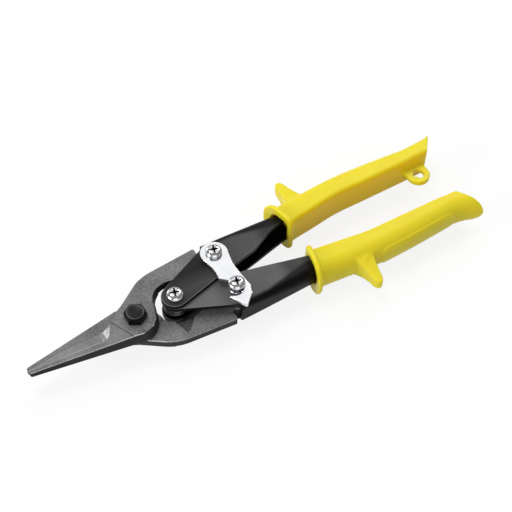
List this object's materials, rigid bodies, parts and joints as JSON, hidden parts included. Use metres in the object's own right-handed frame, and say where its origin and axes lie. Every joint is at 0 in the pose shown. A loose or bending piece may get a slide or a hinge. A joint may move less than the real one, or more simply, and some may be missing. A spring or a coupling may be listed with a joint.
{
  "type": "aviation snips",
  "caption": "Straight-cut aviation snips: forged jaws on a hex bolt, compound pressed-steel handles with vinyl grips, an opening coil spring and a hooked swing latch.",
  "frame": {"origin": "bottom centre of the box round the shut tool: halfway between jaw tip and grip end, on the line through the jaw bolt and the handle screw, level with the lowest point of the lower grip's rim", "axes": "+X along the tool from the jaws to the grips, +Y from the lower to the upper handle, +Z along the bolt to the side that carries the latch"},
  "size_m": [0.2496, 0.0795, 0.0263],
  "materials": {
    "forged_steel": "matt, blasted forging with ground edges",
    "black_oxide": "black oxide, satin",
    "powder_coat": "satin black powder coat",
    "vinyl": "dipped yellow vinyl, glossy",
    "chrome_plate": "bright plated",
    "zinc_plate": "zinc plated",
    "spring_wire": "oiled black spring wire"
  },
  "bodies": {
    "upper_jaw": {"upper_blade": "forged_steel", "jaw_bolt": "black_oxide", "jaw_nut": "black_oxide"},
    "lower_jaw": {"lower_blade": "forged_steel"},
    "upper_lever": {"upper_handle": "powder_coat", "upper_grip": "vinyl", "handle_screw": "chrome_plate", "handle_nut": "zinc_plate", "spring_bush": "zinc_plate", "torsion_spring": "spring_wire", "upper_tang_screw": "chrome_plate", "upper_tang_nut": "zinc_plate", "upper_tang_bush": "zinc_plate", "latch_washer": "zinc_plate"},
    "lower_lever": {"lower_handle": "powder_coat", "lower_grip": "vinyl", "lower_tang_screw": "chrome_plate", "lower_tang_nut": "zinc_plate", "lower_tang_bush": "zinc_plate"},
    "latch_arm": {"latch": "chrome_plate"}
  },
  "joints": [
    {"name": "jaw_open", "type": "hinge", "parent": "upper_jaw", "child": "lower_jaw", "pos_m": [-0.0678, 0, 0.0128], "axis": [0, 0, -1], "range_deg": [0, 22]},
    {"name": "upper_handle_open", "type": "hinge", "parent": "upper_jaw", "child": "upper_lever", "pos_m": [-0.0178, 0.0113, 0.0128], "axis": [0, 0, 1], "range_deg": [0, 9.6], "deforming": ["torsion_spring"]},
    {"name": "lower_handle_open", "type": "hinge", "parent": "lower_jaw", "child": "lower_lever", "pos_m": [-0.0178, -0.0113, 0.0128], "axis": [0, 0, -1], "range_deg": [0, 9.6]},
    {"name": "latch_swing", "type": "hinge", "parent": "upper_lever", "child": "latch_arm", "pos_m": [-0.0178, 0.0113, 0.0128], "axis": [0, 0, 1], "range_deg": [0, 91]}
  ],
  "couplings": [
    {"joint": "upper_handle_open", "follows": "jaw_open", "ratio": 0.4333},
    {"joint": "lower_handle_open", "follows": "jaw_open", "ratio": 0.4333},
    {"joint": "latch_swing", "follows": "jaw_open", "ratio": 4.1}
  ]
}
